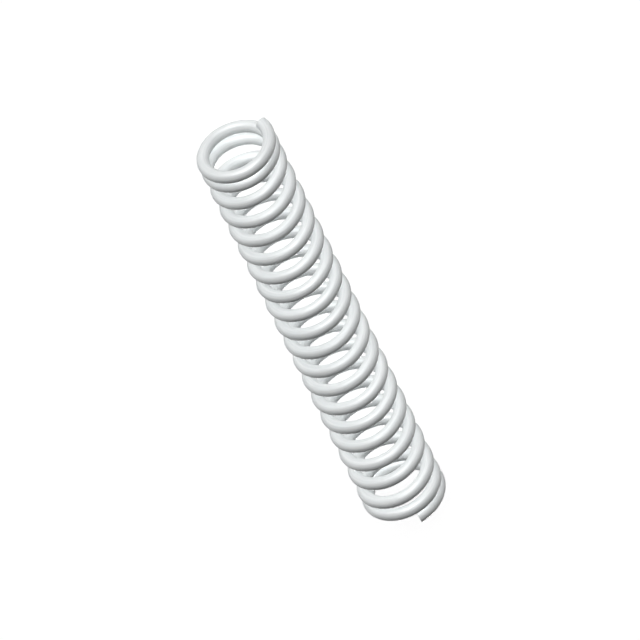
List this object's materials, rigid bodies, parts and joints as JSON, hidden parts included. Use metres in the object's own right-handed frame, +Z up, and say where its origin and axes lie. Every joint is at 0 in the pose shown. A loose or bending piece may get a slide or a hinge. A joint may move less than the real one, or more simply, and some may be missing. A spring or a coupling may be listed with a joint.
{
  "type": "compression spring",
  "caption": "Slender helical compression spring of round wire, wound right-handed, with closed unground ends cut square.",
  "frame": {"origin": "on the surface that the spring lies on, midway between its two ends and straight below its axis", "axes": "+X along the coil's axis, towards the end that the picture shows nearest; +Z up; the coil's axis is half the outside diameter above Z = 0"},
  "size_m": [0.0826, 0.0126, 0.0127],
  "materials": {
    "spring_wire": "drawn steel wire with a pale, cool grey satin plating"
  },
  "bodies": {
    "root": {"spring": "spring_wire"}
  },
  "joints": []
}
